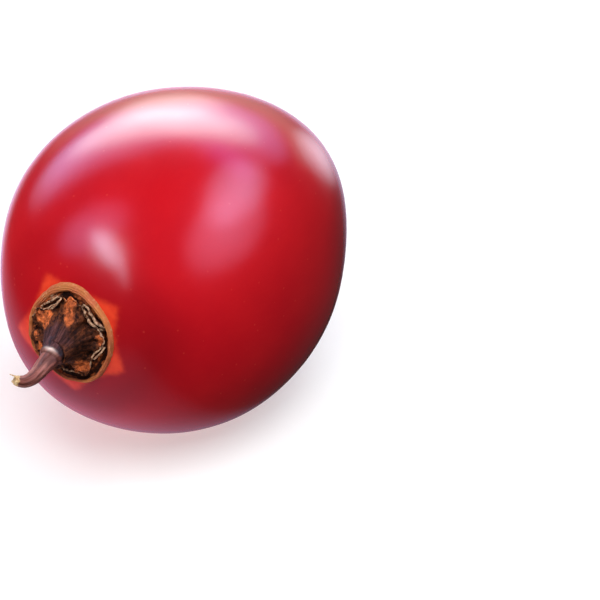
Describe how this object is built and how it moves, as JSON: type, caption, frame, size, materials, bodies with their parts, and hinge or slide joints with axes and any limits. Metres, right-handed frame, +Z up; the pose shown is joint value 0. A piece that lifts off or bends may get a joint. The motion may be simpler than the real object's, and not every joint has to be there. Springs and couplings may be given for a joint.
{
  "type": "tamarillo",
  "caption": "Whole ripe red tamarillo, an egg-shaped fruit with its dried calyx and short bent stalk, lying on its side on a small flat spot.",
  "frame": {"origin": "middle of the bounding box's bottom, on the surface that the fruit rests on", "axes": "+X along the fruit's long axis, from the stalk towards the blossom tip; +Z up"},
  "size_m": [0.0792, 0.0476, 0.0502],
  "materials": {
    "skin": "satin, waxy",
    "calyx": "dry, papery",
    "stalk": "dry, fibrous"
  },
  "bodies": {
    "root": {"fruit": "skin", "calyx": "calyx", "stalk": "stalk"}
  },
  "joints": []
}
